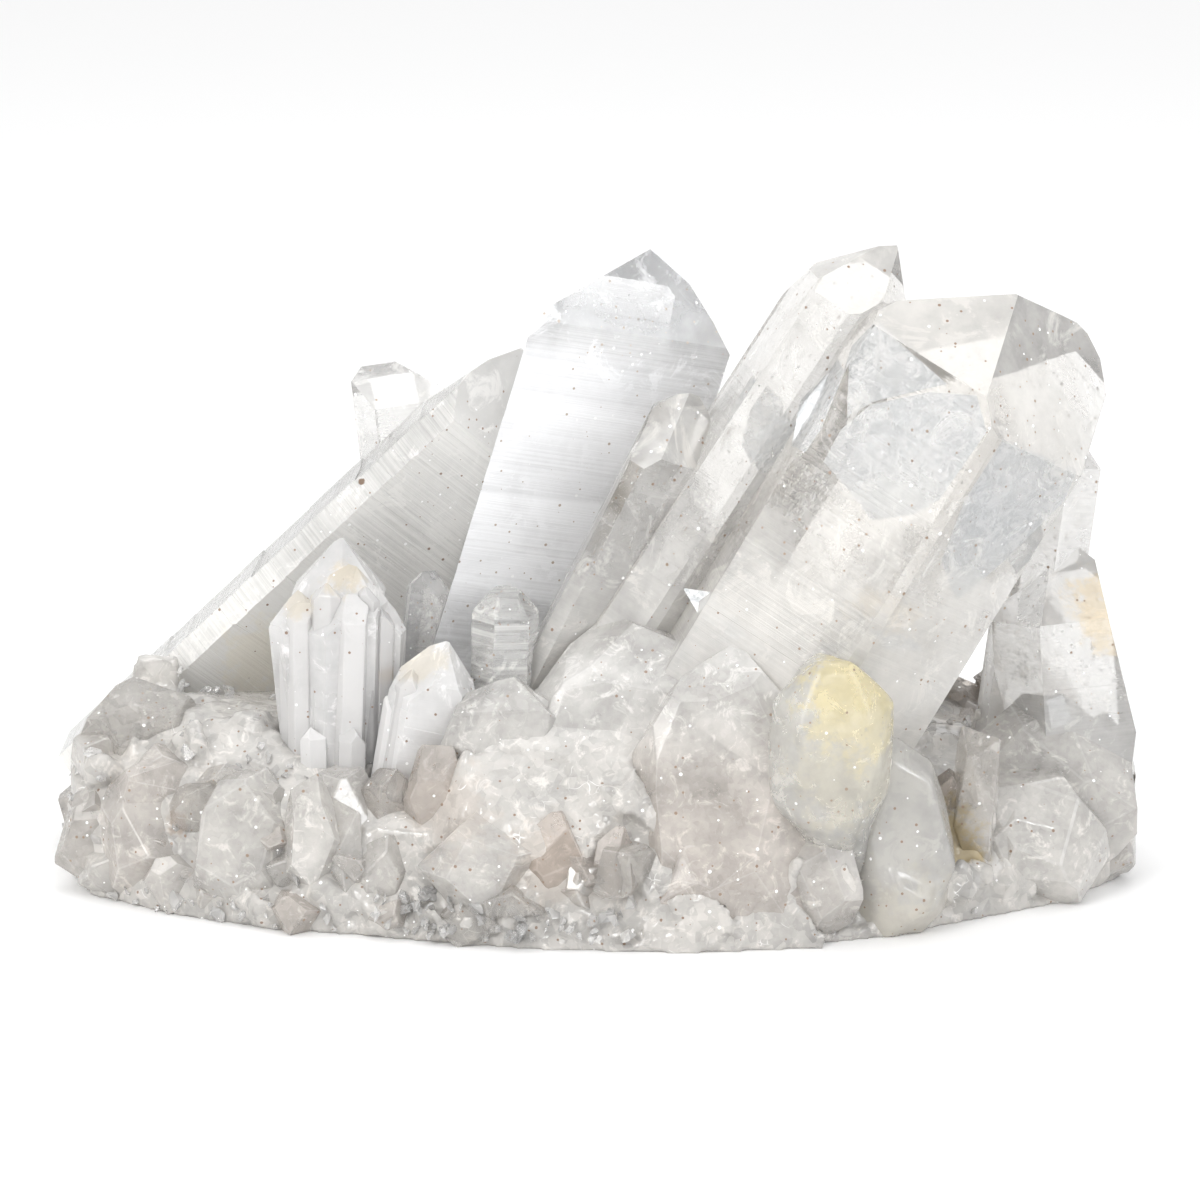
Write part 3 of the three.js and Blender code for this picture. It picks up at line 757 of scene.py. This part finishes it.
bodies = {
    "seed": 12,
    "highlightEdge": 0.16,  # mm, width of the borders painted as a white highlight
    # name: (x mm, z mm, half sizes mm in x, y and z, facets, out of the base mm, warm, clear)
    "placed": {
        "footGlass": (-54.4, 18.0, (7.0, 5.0, 5.5), 18, 1.0, 0.0, 0.5),
        "leftMiddle": (-52.5, 11.5, (6.0, 4.0, 5.5), 20, 0.8, 0.3, 0.2),
        "leftLow": (-60.0, 5.5, (4.4, 4.0, 5.5), 14, 0.6, 0.1, 0.4),
        "roundBlock": (-46.9, 12.1, (3.4, 3.0, 3.2), 18, 1.2, 0.1, 0.6),
        "glintBlock": (-40.0, 12.5, (4.4, 3.5, 4.2), 22, 0.9, 0.0, 0.4),
        "milkyBlock": (-40.6, 6.0, (5.4, 4.5, 6.6), 24, 1.2, 0.0, 0.0),
        "brightPrism": (-32.9, 10.6, (3.2, 3.4, 6.6), 12, 1.8, 0.0, 0.0),
        "narrowBody": (-29.2, 7.0, (2.2, 3.0, 8.0), 11, 1.6, 0.0, 0.3),
        "nextBody": (-24.9, 5.6, (3.0, 3.0, 5.8), 14, 1.3, 0.0, 0.3),
        "greyRoot": (-24.3, 13.5, (3.0, 3.0, 4.4), 12, 0.8, 0.2, 0.5),
        "brokenFace": (-13.4, 8.6, (5.8, 4.5, 5.8), 11, 1.6, 0.0, 0.1),
        "brownLeft": (-18.6, 14.5, (3.6, 3.0, 6.0), 12, 0.8, 0.5, 0.3),
        "ridgeLeft": (-11.0, 21.5, (6.8, 5.0, 6.4), 20, 0.8, 0.0, 0.1),
        "brownHollow": (-4.6, 9.0, (3.6, 2.5, 4.6), 12, 0.6, 0.85, 0.3),
        "brownStep": (1.8, 8.0, (2.6, 2.2, 4.4), 11, 0.9, 0.6, 0.3),
        "smallCream": (26.8, 6.2, (3.3, 3.5, 6.4), 12, 1.6, 0.15, 0.2),
        "wedge": (41.8, 12.0, (2.0, 2.0, 4.0), 9, 1.5, 0.5, 0.5),
        "rightCrust": (51.0, 6.0, (6.4, 5.0, 6.8), 26, 1.2, 0.0, 0.0),
        "rightInner": (45.0, 12.0, (2.6, 3.0, 9.0), 11, 1.2, 0.0, 0.4),
        "rimEnd": (-57.5, 3.0, (4.0, 2.6, 3.0), 12, 0.8, 0.0, 0.2),
        "rimLeft": (-49.5, 3.6, (4.0, 3.0, 3.6), 14, 1.2, 0.1, 0.1),
    },
    # name: (middle mm, half sizes mm, lean, facets, warm, clear)
    "large": {
        "middleBody": ((15.5, -25.6, 14.0), (12.5, 6.6, 20.0), 17, 36, 0.42, 0.0),
        "middleFoot": ((13.0, -25.6, 5.5), (10.4, 9.0, 8.0), 0, 36, 0.45, 0.0),
        "ridgeCrest": ((4.0, -19.3, 17.5), (13.5, 6.4, 18.5), 24, 36, 0.0, 0.0),
        "ridgeBody": ((-7.5, -21.0, 12.5), (12.0, 7.0, 14.5), 20, 34, 0.03, 0.0),
        "leftBody": ((-41.0, -18.5, 8.0), (7.0, 6.5, 9.0), 10, 26, 0.0, 0.1),
        "leftInner": ((-30.5, -20.5, 8.0), (6.0, 5.5, 9.5), 10, 22, 0.0, 0.1),
        "leftOuter": ((-51.5, -11.5, 8.5), (8.0, 7.0, 9.0), 15, 26, 0.25, 0.1),
        "rightFoot": ((51.5, -10.0, 6.5), (9.8, 8.6, 9.5), 12, 28, 0.0, 0.0),
        "rightBody": ((54.0, -5.5, 10.5), (10.8, 6.5, 12.0), 15, 30, 0.0, 0.1),
        "rightOuter": ((60.0, -3.0, 8.5), (6.0, 7.0, 10.5), 12, 24, 0.1, 0.3),
    },
    # area: (low corner mm, high corner mm, half size least and greatest mm, spacing mm)
    "scattered": {
        "left": ((-70, -40, 1), (-22, 0, 16), (2.0, 3.6), 6.5),
        "middle": ((-22, -40, 1), (4, -10, 16), (2.2, 3.6), 8.5),
        "rear": ((-70, 2, 1), (70, 40, 30), (2.6, 5.5), 5.5),
    },
}


def bevelled(made, matrix, width):
    # Corners, faces and a mark on the narrow faces along the edges, which the finish paints as a white highlight.
    made.transform(matrix)
    bmesh.ops.remove_doubles(made, verts=made.verts, dist=0.08 * mm)
    bmesh.ops.recalc_face_normals(made, faces=made.faces)
    bmesh.ops.bevel(
        made, geom=made.edges[:], offset=width * mm, offset_type="OFFSET", segments=1, profile=0.5,
        affect="EDGES", clamp_overlap=True,
    )
    made.verts.index_update()
    corners = np.array([v.co for v in made.verts])
    faces = [[v.index for v in f.verts] for f in made.faces]
    areas = [f.calc_area() / mm ** 2 for f in made.faces]
    longest = [max(e.calc_length() for e in f.edges) / mm for f in made.faces]
    highlightMarks = [1.0 if area < 1.6 * width * length else 0.0 for area, length in zip(areas, longest)]
    made.free()
    return corners, faces, highlightMarks


def bodyMesh(name, parts):
    # parts: corners, faces, edge highlight marks, warm, clear
    low, high = (np.array(corner) for corner in cadBox)
    corners, faces, highlightMarks, warms, clears = [], [], [], [], []
    start = 0
    for partCorners, partFaces, partHighlightMarks, warm, clear in parts:
        corners.append(np.clip(partCorners, low, high))
        faces += [[i + start for i in face] for face in partFaces]
        highlightMarks += partHighlightMarks
        warms += [warm] * len(partFaces)
        clears += [clear] * len(partFaces)
        start += len(partCorners)
    mesh = bpy.data.meshes.new(name)
    mesh.from_pydata(np.concatenate(corners).tolist(), [], faces)
    # The edge marks carry the painted highlight on the narrow edge faces.
    for layer, values in (("highlightEdge", highlightMarks), ("warm", warms), ("clear", clears)):
        mesh.attributes.new(layer, "FLOAT", "FACE").data.foreach_set("value", np.array(values, np.float32))
    return mesh


def makeBodies(look, massTree, tris, tooNear):
    rng = random.Random(look["seed"])
    front, rear = [], []
    for x, z, half, facets, out, warm, clear in look["placed"].values():
        hit = massTree.ray_cast(Vector((x * mm, -0.2, z * mm)), Vector((0, 1, 0)))[0]
        y = (hit.y if hit else -0.012) / mm + half[1] - out
        matrix = Matrix.Translation(Vector((x, y, z)) * mm) @ Matrix.Diagonal(Vector(half) * mm).to_4x4()
        made = cutBody(bodyPlanes(facets, rng), 1.4)
        front.append((*bevelled(made, matrix, look["highlightEdge"]), warm, clear))
    for middle, half, lean, facets, warm, clear in look["large"].values():
        matrix = leaningFrame(middle, half, lean)
        front.append((*bevelled(cutBody(bodyPlanes(facets, rng), 1.4), matrix, 0.3), warm, clear))
    for areaName, (low, high, halves, spacing) in look["scattered"].items():
        for point, normal in surfacePoints(rng, tris, low, high, spacing):
            half = rng.uniform(*halves)
            if tooNear(point, 0.6 * half * mm):
                continue
            lean = (normal + Vector([rng.gauss(0, 0.3) for _ in range(3)])).normalized()
            turn = lean.to_track_quat("Z", "Y").to_matrix().to_4x4()
            sizes = Vector((half, half * rng.uniform(0.6, 1.0), half * rng.uniform(0.7, 1.1))) * mm
            sunk = point - normal * half * rng.uniform(0.6, 0.85) * mm
            matrix = Matrix.Translation(sunk) @ turn @ Matrix.Diagonal(sizes).to_4x4()
            made = cutBody(bodyPlanes(rng.choice((9, 11, 14)), rng), 1.4)
            part = (*bevelled(made, matrix, look["highlightEdge"]), 0.5 * rng.random() ** 2, rng.uniform(0.0, 0.7))
            (rear if areaName == "rear" else front).append(part)
    return {"frontBodies": front, "rearBodies": rear}


# Slim crystals that lie on the fan

blades = {
    "seed": 9,
    "highlightEdge": 0.1,  # mm, width of the edges painted as a white highlight
    # root mm, tip mm, half width mm, flatness
    "crystals": [
        ((-34.8, -12.6, 14.0), (-34.8, -11.6, 39.0), 1.7, 0.8),
        ((-32.4, -13.6, 12.0), (-31.8, -12.2, 41.2), 1.8, 0.8),
        ((-30.2, -13.8, 10.0), (-28.9, -12.6, 42.0), 2.9, 0.7),
        ((-27.2, -13.2, 12.0), (-26.8, -12.0, 40.2), 1.4, 0.9),
        ((-25.8, -12.6, 12.0), (-25.0, -11.6, 37.4), 1.4, 0.9),
        ((-36.4, -11.0, 14.0), (-36.6, -10.4, 35.6), 1.2, 1.0),
        ((-25.0, -17.8, 9.0), (-20.8, -16.4, 32.2), 2.3, 0.7),
        ((-22.2, -17.4, 10.0), (-18.4, -15.8, 30.4), 1.9, 0.8),
        ((-26.6, -17.0, 8.0), (-23.2, -15.8, 28.0), 1.4, 0.9),
        ((-29.2, -16.4, 7.0), (-28.6, -15.0, 25.0), 1.9, 0.8),
        ((-33.0, -16.0, 7.0), (-33.4, -14.2, 23.5), 1.7, 0.9),
        ((-19.4, -14.6, 14.0), (-17.0, -13.6, 27.5), 1.2, 0.9),
    ],
}


def bladePlanes(rng):
    # Six sides and six leaning faces at the tip, in a frame one unit wide.
    planes = [(Vector((0, 0, -1)), 20.0)]
    for i in range(6):
        turn = math.tau * (i + 0.5) / 6
        out = Vector((math.cos(turn), math.sin(turn), 0))
        reach = rng.uniform(0.86, 1.0)
        planes.append((out, reach))
        planes.append(((out * 0.786 + Vector((0, 0, 0.618))).normalized(), rng.uniform(-0.25, 0.5)))
    return planes


def makeBlades(look):
    rng = random.Random(look["seed"])
    parts = []
    for root, tip, width, flat in look["crystals"]:
        root, tip = Vector(root) * mm, Vector(tip) * mm
        way = tip - root
        turn = way.to_track_quat("Z", "Y").to_matrix() @ Matrix.Rotation(rng.uniform(-0.2, 0.2), 3, "Z")
        size = width * mm
        length = way.length / size
        planes = [(n, r + (n.z > 0.1) * (length - 1.3) * n.z) for n, r in bladePlanes(rng)]
        planes[0] = (Vector((0, 0, -1)), 0.0)
        made = cutBody(planes, length + 2)
        matrix = Matrix.Translation(root) @ turn.to_4x4() @ Matrix.Diagonal((size, size * flat, size, 1))
        parts.append((*bevelled(made, matrix, look["highlightEdge"]), 0.0, rng.uniform(0.2, 0.6)))
    return bodyMesh("fanBlades", parts)


placePiece("fanBlades", makeBlades(blades), fanQuartz, "clear_quartz")


# Glassy shards and small crystals of the broken surface

shards = {
    "seed": 5,
    "shapes": 24,
    "clearOfCrystals": 0.8,  # mm
    # region: (low corner mm, high corner mm, least size, greatest size, spacing mm, how far out)
    "regions": {
        "leftFront": ((-70, -40, 0.6), (-30, -2, 20), 1.0, 3.0, 4.5, 0.1),
        "leftRim": ((-60, -40, 0.8), (-30, -2, 3), 1.0, 2.4, 2.2, 0.15),
        "lowRim": ((-30, -40, 0.8), (4, -14, 5.5), 1.0, 3.4, 1.7, 0.2),
        "lowRimRight": ((4, -40, 0.6), (48, -14, 2), 0.8, 1.6, 5.5, 0.1),
        "rear": ((-70, 2, 0.6), (70, 40, 30), 1.4, 3.4, 4.5, 0.2),
    },
    "pieces": {
        "leftShards": ["leftFront", "leftRim"],
        "frontShards": ["lowRim", "lowRimRight"],
        "rearShards": ["rear"],
    },
}


def nearCrystals():
    trees = []
    for nodeName in axes:
        made = cadMesh(nodeName)
        trees.append(BVHTree.FromBMesh(made))
        made.free()
    return lambda point, reach: any(tree.find_nearest(point, reach)[0] is not None for tree in trees)


def shardShape(rng, pointed):
    made = bmesh.new()
    if pointed:
        width = rng.uniform(0.4, 0.55)
        waist = rng.uniform(0.2, 0.6)
        for i in range(6):
            turn = math.tau * i / 6
            far = width * rng.uniform(0.85, 1.1)
            made.verts.new((far * math.cos(turn), far * math.sin(turn), -0.9))
            made.verts.new((far * math.cos(turn), far * math.sin(turn), waist + rng.uniform(-0.12, 0.12)))
        made.verts.new((rng.uniform(-0.1, 0.1), rng.uniform(-0.1, 0.1), waist + width * 1.2))
    else:
        squash = (1.0, rng.uniform(0.5, 1.0), rng.uniform(0.6, 1.1))
        for _ in range(rng.choice((7, 8, 9, 11))):
            way = Vector([rng.gauss(0, 1) for _ in range(3)]).normalized()
            made.verts.new([way[i] * squash[i] for i in range(3)])
    hull = bmesh.ops.convex_hull(made, input=made.verts)
    inner = {g for g in hull["geom_interior"] + hull["geom_unused"] if isinstance(g, bmesh.types.BMVert)}
    bmesh.ops.delete(made, geom=list(inner), context="VERTS")
    made.verts.index_update()
    corners = np.array([v.co for v in made.verts])
    faces = np.array([[v.index for v in f.verts] for f in made.faces])
    made.free()
    return corners, faces


def joinedMesh(name, parts):
    corners = np.concatenate([p[0] for p in parts])
    starts = np.cumsum([0] + [len(p[0]) for p in parts[:-1]])
    faces = np.concatenate([p[1] + start for p, start in zip(parts, starts)])
    mesh = bpy.data.meshes.new(name)
    mesh.from_pydata(corners.tolist(), [], faces.tolist())
    return mesh


def surfacePoints(rng, tris, low, high, spacing):
    low, high = Vector(low) * mm, Vector(high) * mm
    inside = [t for t in tris if all(low[i] <= t[0][i] <= high[i] for i in range(3)) and t[3].z > -0.35]
    weights = [t[4] for t in inside]
    for a, b, c, normal, _ in rng.choices(inside, weights, k=int(sum(weights) / (spacing * mm) ** 2)):
        u, v = sorted((rng.random(), rng.random()))
        yield a * u + b * (v - u) + c * (1 - v), normal


def makeShards(regionNames, look, shapes, tris, tooNear, rng):
    low, high = (np.array(corner) for corner in cadBox)
    parts = []
    for regionName in regionNames:
        corner, other, least, greatest, spacing, out = look["regions"][regionName]
        for point, normal in surfacePoints(rng, tris, corner, other, spacing):
            size = rng.uniform(least ** 0.5, greatest ** 0.5) ** 2 * mm
            if tooNear(point, look["clearOfCrystals"] * mm):
                continue
            corners, faces = shapes[rng.randrange(len(shapes))]
            lean = (normal + Vector([rng.gauss(0, 0.35) for _ in range(3)])).normalized()
            turn = lean.to_track_quat("Z", "Y").to_matrix() @ Matrix.Rotation(rng.uniform(0, math.tau), 3, "Z")
            stretch = np.array([rng.uniform(0.6, 1.15) for _ in range(3)])
            placed = (corners * stretch * size * 0.5) @ np.array(turn).T + np.array(point + normal * size * out)
            parts.append((np.clip(placed, low, high), faces))
    return parts


tooNear = nearCrystals()
shardRng = random.Random(shards["seed"])
shardShapes = [shardShape(shardRng, i % 6 == 0) for i in range(shards["shapes"])]
massTris = [(*(v.co.copy() for v in f.verts), f.normal.copy(), f.calc_area()) for f in massForm.faces]
massTree = BVHTree.FromBMesh(massForm)
for pieceName, parts in makeBodies(bodies, massTree, massTris, tooNear).items():
    mesh = bodyMesh(pieceName, parts)
    print(pieceName, len(mesh.polygons), "faces")
    placePiece(pieceName, mesh, bodyQuartz, "milky_quartz")
for pieceName, regionNames in shards["pieces"].items():
    mesh = joinedMesh(pieceName, makeShards(regionNames, shards, shardShapes, massTris, tooNear, shardRng))
    print(pieceName, len(mesh.polygons), "faces")
    placePiece(pieceName, mesh, shardQuartz, "milky_quartz")
placePiece("druseMass", meshFrom(massForm, "druseMass"), milkyQuartz, "milky_quartz", ("druse_base",))
print("base dressed")


# Inclusions: flat bubbles and healed cracks inside the crystals, and sheets of painted highlight just under their
# front faces

inclusions = {
    "seed": 3,
    "depth": 0.5,  # mm below a crystal's surface at least
    "flake": (0.06, 0.26),  # mm, half size
    "flat": 0.2,  # thickness as a share of the width
    # node: loose flakes through the whole crystal, more near the root
    "loose": {
        "left_long": 1500, "centre_tall": 2600, "right_group": 4200, "right_stub": 1200, "fan_group": 700,
        "back_left": 150, "back_mid": 300, "back_right": 300, "small_clear": 60, "yellow_front": 250,
        "front_grey": 200,
    },
    # node, middle mm, facing, half width mm, flakes: healed cracks that run through a crystal
    "veils": [
        ("right_group", (23.0, -8.0, 46.0), (0.5, -0.6, 0.6), 6.0, 700),
        ("right_group", (28.0, -14.0, 50.0), (-0.3, -0.8, 0.5), 5.0, 500),
        ("right_group", (17.0, -12.0, 34.0), (0.2, -0.9, 0.3), 3.5, 420),
        ("right_group", (33.0, -16.0, 33.0), (0.4, -0.7, 0.6), 3.5, 420),
        ("right_group", (40.0, -13.0, 45.0), (0.7, -0.5, 0.5), 6.0, 500),
        ("centre_tall", (6.0, -1.0, 62.0), (0.3, -0.7, 0.6), 6.5, 900),
        ("centre_tall", (-3.0, 3.0, 60.0), (-0.4, -0.7, 0.5), 5.0, 420),
        ("right_stub", (53.0, -2.0, 26.0), (0.1, -0.9, 0.3), 3.2, 300),
        ("left_long", (-18.0, 16.0, 46.0), (0.3, -0.8, 0.5), 6.0, 400),
    ],
}


cracksAndHighlights = {
    "seed": 6,
    # middle mm, facing, half sizes mm, corners
    "plates": [
        ((12.5, -9.5, 34.0), (0.4, -0.9, 0.2), (4.5, 2.2), 8),
        ((29.5, -16.0, 30.0), (0.1, -0.9, 0.5), (4.2, 3.0), 9),
        ((48.5, -11.5, 45.0), (0.7, -0.7, 0.2), (3.6, 5.2), 7),
        ((20.5, -7.0, 56.0), (-0.4, -0.8, 0.4), (3.0, 5.5), 7),
        ((17.5, -12.0, 31.0), (-0.2, -0.9, 0.3), (3.8, 2.4), 8),
        ((5.0, 0.5, 60.0), (0.3, -0.9, 0.3), (4.5, 3.0), 8),
    ],
    # Painted highlights: pale sheets just under a crystal's front face, where it looks bright from reflected light.
    # node, depth mm under the face in front, corners: (x mm, z mm) where the camera's lines meet y = 0
    "paintedHighlights": [
        ("right_group", 1.2, [(27.5, 50.5), (29.5, 54.4), (33.1, 57.5), (40.0, 59.0), (45.7, 58.6), (47.0, 54.2), (41.4, 45.8), (38.4, 44.0), (33.3, 43.3), (31.6, 45.8)]),
        ("right_group", 1.0, [(48.5, 53.2), (57.4, 49.5), (56.1, 45.8), (49.0, 38.4), (43.4, 33.4), (41.5, 38.4), (44.1, 45.8)]),
        ("right_group", 1.0, [(24.5, 58.1), (29.0, 63.2), (29.9, 61.5), (27.1, 54.4), (25.3, 51.7), (23.6, 52.4)]),
        ("right_group", 0.7, [(30.7, 64.6), (33.8, 67.3), (42.1, 60.0), (38.8, 59.2), (33.1, 57.8), (30.2, 55.9)]),
        ("right_group", 0.6, [(10.6, 34.9), (14.1, 34.4), (18.5, 29.4), (16.9, 28.2), (12.7, 31.2)]),
        ("right_group", 0.6, [(33.0, 29.9), (37.5, 29.2), (39.8, 27.2), (35.4, 27.2)]),
        ("right_stub", 0.6, [(54.7, 20.9), (56.6, 21.7), (57.9, 18.2), (55.5, 16.6)]),
    ],
}


def makeCracksAndHighlights(look):
    # Thin ragged plates, slightly dished, and flat sheets of painted highlight under the front faces.
    rng = random.Random(look["seed"])
    corners, faces = [], []
    for middle, facing, half, count in look["plates"]:
        turn = Vector(facing).normalized().to_track_quat("Z", "Y").to_matrix()
        start = len(corners)
        rings = 3
        for ring in range(1, rings + 1):
            for i in range(count):
                angle = math.tau * i / count
                far = ring / rings * (rng.uniform(0.7, 1.1) if ring == rings else 1.0)
                local = Vector((half[0] * far * math.cos(angle), half[1] * far * math.sin(angle), 0))
                local.z = 0.25 * far * far + rng.gauss(0, 0.05)
                corners.append((Vector(middle) + turn @ local) * mm)
        corners.append(Vector(middle) * mm)
        for i in range(count):
            j = (i + 1) % count
            faces.append((len(corners) - 1, start + i, start + j))
            for ring in range(rings - 1):
                low, high = start + ring * count, start + (ring + 1) * count
                faces.append((low + i, high + i, high + j, low + j))
    # Sheets of painted highlight, one for each outline, laid just under the face that the camera sees.
    for nodeName, depth, outline in look["paintedHighlights"]:
        solid = cadMesh(nodeName)
        tree = BVHTree.FromBMesh(solid)
        solid.free()
        start = len(corners)
        for x, z in outline:
            eye, way = cameraRay(x, z)
            hit = tree.ray_cast(eye, way)[0]
            if hit:
                corners.append(hit + way * depth * mm)
        count = len(corners) - start
        corners.append(sum(corners[start:], Vector()) / count)
        faces += [(start + count, start + i, start + (i + 1) % count) for i in range(count)]
    mesh = bpy.data.meshes.new("cracksAndHighlights")
    mesh.from_pydata(corners, [], faces)
    made = bmesh.new()
    made.from_mesh(mesh)
    bmesh.ops.solidify(made, geom=made.faces[:], thickness=0.06 * mm)
    return made


def crackAndHighlightFinish():
    material = bpy.data.materials.new("crackFrostAndHighlight")
    material.use_nodes = True
    tree = material.node_tree
    shader = tree.nodes["Principled BSDF"]
    place = node(tree, "ShaderNodeTexCoord").outputs["Object"]
    patches = smoothStep(tree, cloudNoise(tree, place, 2.2, 6.0, 0.7, 1.0), 0.4, 0.6)
    open = maths(tree, "MULTIPLY_ADD", patches, -0.4, 0.45)
    # Pale bluish white: frost in the healed cracks, and painted highlight in the sheets under the front faces.
    tone = blendColour(tree, patches, (0.955, 0.98, 1.0), (0.99, 0.995, 1.0))
    tree.links.new(tone, shader.inputs["Base Color"])
    tree.links.new(open, shader.inputs["Transmission Weight"])
    shader.inputs["Roughness"].default_value = 0.25
    shader.inputs["IOR"].default_value = 1.15
    return material


def flakeShape():
    corners = [(1, 0, 0), (-1, 0, 0), (0, 1, 0), (0, -1, 0), (0, 0, 1), (0, 0, -1)]
    faces = [(a, b, 4) if turn else (b, a, 5) for a, b in ((0, 2), (2, 1), (1, 3), (3, 0)) for turn in (1, 0)]
    return np.array(corners, float), np.array(faces)


def isInside(tree, point, depth):
    near, normal, _, distance = tree.find_nearest(point)
    if near is None or distance < depth * mm or (point - near).dot(normal) > 0:
        return False
    ray = Vector((0.13, 0.31, 0.94)).normalized()
    start, hits = point, 0
    while hits < 20:
        place, _, _, _ = tree.ray_cast(start, ray)
        if place is None:
            break
        start = place + ray * 1e-6
        hits += 1
    return hits % 2 == 1


def scatterInside(tree, lines, count, look, rng):
    # Points inside a crystal, closer together towards the root.
    found = 0
    for _ in range(count * 12):
        start, way, length = lines[rng.randrange(len(lines))]
        along = rng.betavariate(1.3, 2.0) * length
        spread = Vector([rng.uniform(-17, 17) for _ in range(3)]) * mm
        point = start + way * along + spread - way * spread.dot(way)
        if isInside(tree, point, look["depth"]):
            yield point, Vector([rng.gauss(0, 1) for _ in range(3)]).normalized()
            found += 1
            if found == count:
                return


def veilPoints(tree, veil, look, rng):
    _, middle, facing, half, count = veil
    facing = Vector(facing).normalized()
    across = facing.orthogonal().normalized()
    along = facing.cross(across)
    shift = rng.uniform(0, 50)
    for _ in range(count):
        u, v = rng.gauss(0, 0.45) * half, rng.gauss(0, 0.45) * half
        if noise.noise(Vector((u * 0.45 + shift, v * 0.45, 0))) < -0.12:
            continue
        wave = 0.9 * noise.noise(Vector((u * 0.25, v * 0.25, shift)))
        point = (Vector(middle) + across * u + along * v + facing * wave) * mm
        if isInside(tree, point, look["depth"]):
            yield point, (facing + Vector([rng.gauss(0, 0.25) for _ in range(3)])).normalized()


def makeInclusions(look):
    rng = random.Random(look["seed"])
    shape, faces = flakeShape()
    parts = []
    for nodeName, count in look["loose"].items():
        made = cadMesh(nodeName)
        tree = BVHTree.FromBMesh(made)
        made.free()
        points = list(scatterInside(tree, axisLines(nodeName), count, look, rng))
        for veil in look["veils"]:
            if veil[0] == nodeName:
                points += veilPoints(tree, veil, look, rng)
        for point, facing in points:
            size = look["flake"][0] + (look["flake"][1] - look["flake"][0]) * rng.random() ** 2.5
            turn = facing.to_track_quat("Z", "Y").to_matrix() @ Matrix.Rotation(rng.uniform(0, math.tau), 3, "Z")
            scale = np.array([size, size * rng.uniform(0.5, 1.0), size * look["flat"]]) * mm
            parts.append(((shape * scale) @ np.array(turn).T + np.array(point), faces))
    return joinedMesh("inclusions", parts)


def inclusionFinish():
    material = bpy.data.materials.new("inclusionWhite")
    material.use_nodes = True
    tree = material.node_tree
    shader = tree.nodes["Principled BSDF"]
    place = node(tree, "ShaderNodeTexCoord").outputs["Object"]
    tone = blendColour(tree, cloudNoise(tree, place, 0.8, 2.0), (0.86, 0.86, 0.86), (1.0, 1.0, 1.0))
    tree.links.new(tone, shader.inputs["Base Color"])
    shader.inputs["Roughness"].default_value = 0.2
    return material


inclusionMesh = makeInclusions(inclusions)
print("inclusions", len(inclusionMesh.polygons), "faces")
placePiece("inclusions", inclusionMesh, inclusionFinish(), "clear_quartz")

# Healed cracks and sheets of painted highlight, in one piece.
placePiece("cracksAndHighlights", meshFrom(makeCracksAndHighlights(cracksAndHighlights), "cracksAndHighlights"), crackAndHighlightFinish(), "clear_quartz")

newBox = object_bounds()
boxes = {"cad": cadBox, "visual": newBox}
{key: [list(low), list(high)] for key, (low, high) in boxes.items()}
